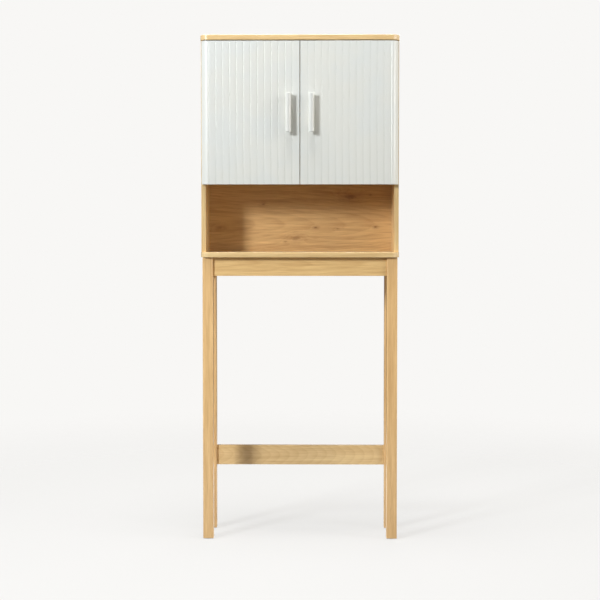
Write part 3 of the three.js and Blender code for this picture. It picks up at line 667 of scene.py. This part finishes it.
def fittings():
    """Steel, nylon and rubber pieces keep their CAD shape; the screws that hold the hinges are added."""
    slots = {part["node"]: part["material_slot"] for part in frame["record"]["subparts"]}
    finishes = {"steel": STEEL, "nylon": NYLON, "bumper": RUBBER}
    for node in NODES:
        if slots.get(node) in finishes:
            dress(node, (finishes[slots[node]],), FITTING_EASE)
    for side, sign in SIDES:
        for level in LEVELS:
            low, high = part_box(f"{side}_{level}_hinge_plate")
            face = high.x if sign < 0 else low.x
            for end, z in (("low", low.z + PLATE_SCREW_IN), ("high", high.z - PLATE_SCREW_IN)):
                centre = (face, low.y + PLATE_SCREW_BACK, z)
                screw_head(f"{side}_{level}_plate_screw_{end}", "rack", centre, (-sign, 0, 0),
                           PLATE_SCREW_R, PLATE_SCREW_HEIGHT)


# ---- Stage, lights and camera ------------------------------------------------------------------------------
WHITE = (0.939, 0.930, 0.914)
FLOOR_GREY = (0.15, 0.149, 0.147)
FLOOR_RADIUS, FLOOR_DROP = 3.2, 0.0005
FLOOR_FADE = (1.0, 3.0)  # distances from the middle between which the floor fades away
AMBIENT = (1.0, 0.96, 0.85)
AMBIENT_LOW, AMBIENT_HIGH, AMBIENT_LEFT, AMBIENT_RIGHT = 0.05, 0.08, 0.6, 1.65
# How the light from all around grows along an axis: the axis, its start and end, and the strength at each.
AMBIENT_TERMS = (("Z", 0.0, 0.7, AMBIENT_LOW, AMBIENT_HIGH), ("X", -0.55, -0.95, 0.0, AMBIENT_LEFT),
                 ("X", 0.55, 0.95, 0.0, AMBIENT_RIGHT))


def ground():
    """A round pale floor that fades into a plain backdrop of the same tone."""
    bm = bmesh.new()
    bmesh.ops.create_circle(bm, cap_ends=True, segments=96, radius=FLOOR_RADIUS)
    g = Graph("floor", Roughness=0.9, Emission_Strength=0.72)
    g.shader.inputs["Base Color"].default_value = (*FLOOR_GREY, 1)
    g.shader.inputs["Emission Color"].default_value = (*WHITE, 1)
    g.shader.inputs["Specular IOR Level"].default_value = 0.0
    g.put(g.shader.inputs["Alpha"], g.rescale(g.length(g.place()), *FLOOR_FADE, 1.0, 0.0))
    floor = link("floor", bm, (g.material,))
    floor.location.z = -FLOOR_DROP
    floor.visible_diffuse = False


def backdrop():
    """The camera sees plain white around the rack; the rack is lit by a warm glow, mostly from the sides."""
    world = bpy.data.worlds.new("studio")
    bpy.context.scene.world = world
    world.use_nodes = True
    tree = world.node_tree
    tree.nodes.clear()
    seen, lit = tree.nodes.new("ShaderNodeBackground"), tree.nodes.new("ShaderNodeBackground")
    seen.inputs[0].default_value = (*WHITE, 1)
    lit.inputs[0].default_value = (*AMBIENT, 1)
    direction, parts = tree.nodes.new("ShaderNodeTexCoord"), tree.nodes.new("ShaderNodeSeparateXYZ")
    tree.links.new(direction.outputs["Generated"], parts.inputs[0])
    target = lit.inputs[1]
    for axis, *limits in AMBIENT_TERMS:
        term, adder = tree.nodes.new("ShaderNodeMapRange"), tree.nodes.new("ShaderNodeMath")
        term.interpolation_type = "SMOOTHSTEP"
        for socket, number in zip(term.inputs[1:], limits):
            socket.default_value = number
        tree.links.new(parts.outputs[axis], term.inputs[0])
        tree.links.new(term.outputs[0], adder.inputs[0])
        adder.inputs[1].default_value = 0.0
        tree.links.new(adder.outputs[0], target)
        target = adder.inputs[1]
    rays, mixer, output = (tree.nodes.new(k) for k in
                           ("ShaderNodeLightPath", "ShaderNodeMixShader", "ShaderNodeOutputWorld"))
    tree.links.new(rays.outputs["Is Camera Ray"], mixer.inputs[0])
    tree.links.new(lit.outputs[0], mixer.inputs[1])
    tree.links.new(seen.outputs[0], mixer.inputs[2])
    tree.links.new(mixer.outputs[0], output.inputs[0])


def softbox(name, location, size, watts, colour=(1, 1, 1), sheen_only=False, aim=(0, -0.05, 1.1)):
    """A rectangular lamp that faces a point. A sheen lamp shows in glossy surfaces but lights nothing."""
    lamp = bpy.data.lights.new(name, "AREA")
    lamp.shape = "RECTANGLE"
    lamp.size, lamp.size_y = size
    lamp.energy = watts
    lamp.color = colour
    box = bpy.data.objects.new(name, lamp)
    bpy.context.scene.collection.objects.link(box)
    box.location = location
    box.rotation_euler = (Vector(location) - Vector(aim)).to_track_quat("Z", "Y").to_euler()
    box.visible_diffuse = not sheen_only


def lights():
    """A key from the left, a fill from the right, one overhead and one behind, and two for the gloss."""
    softbox("key", (-3.75, -4.1, 3.3), (0.95, 1.3), 291, (0.95, 1.0, 1.04))
    softbox("right", (3.75, -1.45, 2.9), (1.3, 1.3), 50, aim=(0, -0.09, 1.3))
    softbox("overhead", (-0.25, -0.4, 4.6), (1.6, 1.4), 202)
    softbox("behind", (0.9, 4.4, 3.0), (2.4, 2.4), 60)
    softbox("sheen_left", (-3.5, -5.2, 2.15), (1.95, 1.3), 50, sheen_only=True, aim=(-0.31, -0.08, 1.45))
    softbox("sheen_right", (4.8, -4.0, 1.95), (1.95, 0.95), 76, sheen_only=True, aim=(0.31, -0.08, 1.45))


CAMERA_X, CAMERA_BACK, CAMERA_Z = 0.0426, 4.338, 1.0714  # CAMERA_BACK is from the lower board's front
CAMERA_DOWN, CAMERA_TURN = 2.2165, 0.558  # degrees
LENS, LENS_SHIFT = 78.54, -0.05


def camera():
    """A long lens a little right of centre and at compartment height, tipped slightly down."""
    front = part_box("lower_board")[0].y
    data = bpy.data.cameras.new("camera")
    data.sensor_width = 36
    data.lens = LENS
    data.shift_y = LENS_SHIFT
    eye = bpy.data.objects.new("camera", data)
    bpy.context.scene.collection.objects.link(eye)
    eye.location = (CAMERA_X, front - CAMERA_BACK, CAMERA_Z)
    eye.rotation_euler = (math.radians(90 - CAMERA_DOWN), 0, math.radians(CAMERA_TURN))
    bpy.context.scene.camera = eye
    bpy.context.scene.view_settings.view_transform = "Standard"


# ---- Everything --------------------------------------------------------------------------------------------
camera()
lights()
ground()
backdrop()
carcass()
for side_name, side_sign in SIDES:
    door(side_name, side_sign)
    handle(side_name)
fittings()
